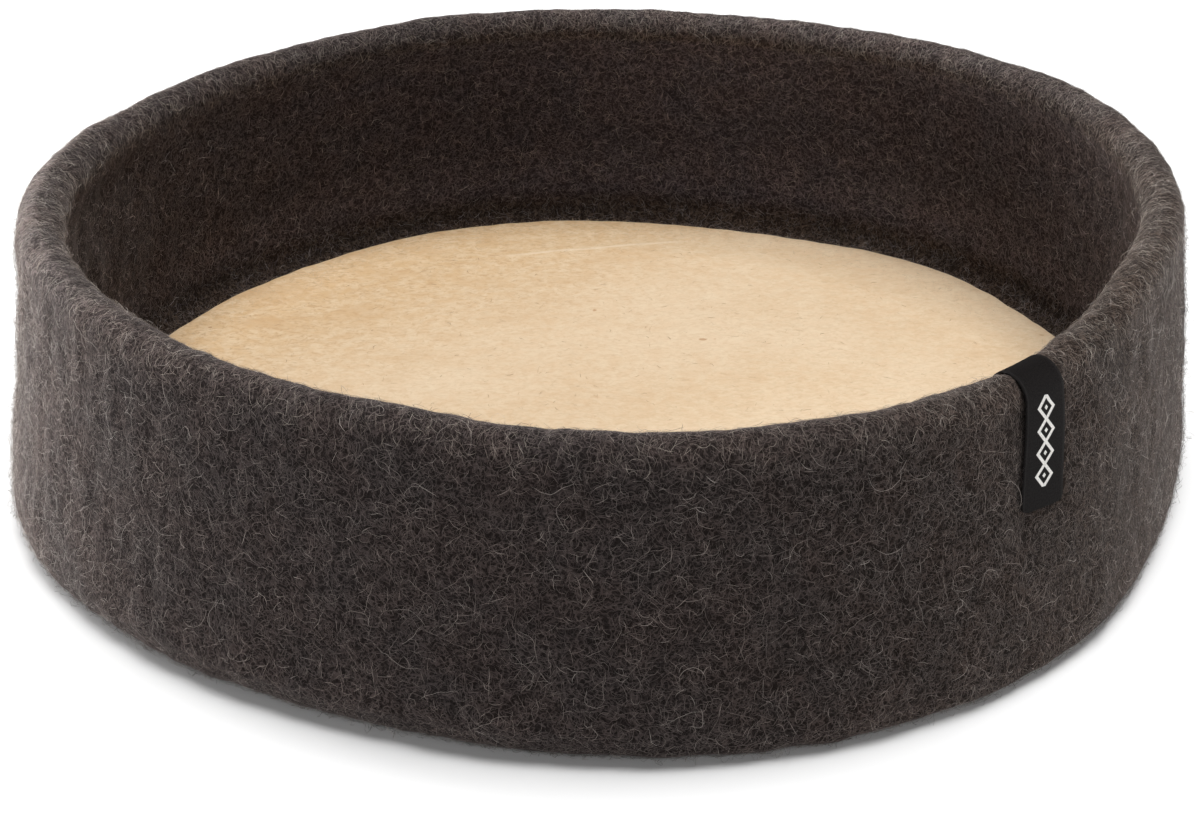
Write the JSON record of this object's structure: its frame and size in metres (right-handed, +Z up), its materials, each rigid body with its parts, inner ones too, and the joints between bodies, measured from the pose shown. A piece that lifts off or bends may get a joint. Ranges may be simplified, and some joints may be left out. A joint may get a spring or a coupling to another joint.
{
  "type": "felt dog basket",
  "caption": "Round shallow pet basket of thick dark wool felt with a rolled rim, a loose pale felt mat on its floor and a black tape label folded over the rim.",
  "frame": {"origin": "middle of the flat underside", "axes": "+Z up through the open top, -Y towards the front, +X to the right as seen from the front"},
  "size_m": [0.598, 0.605, 0.1481],
  "materials": {
    "bowl_felt": "charcoal wool felt with pale hairs, matt and fuzzy",
    "mat_felt": "cream wool felt, matt, short nap",
    "label_tape": "black satin-woven tape"
  },
  "bodies": {
    "root": {"basket_shell": "bowl_felt", "mat": "mat_felt", "label": "label_tape"}
  },
  "joints": []
}
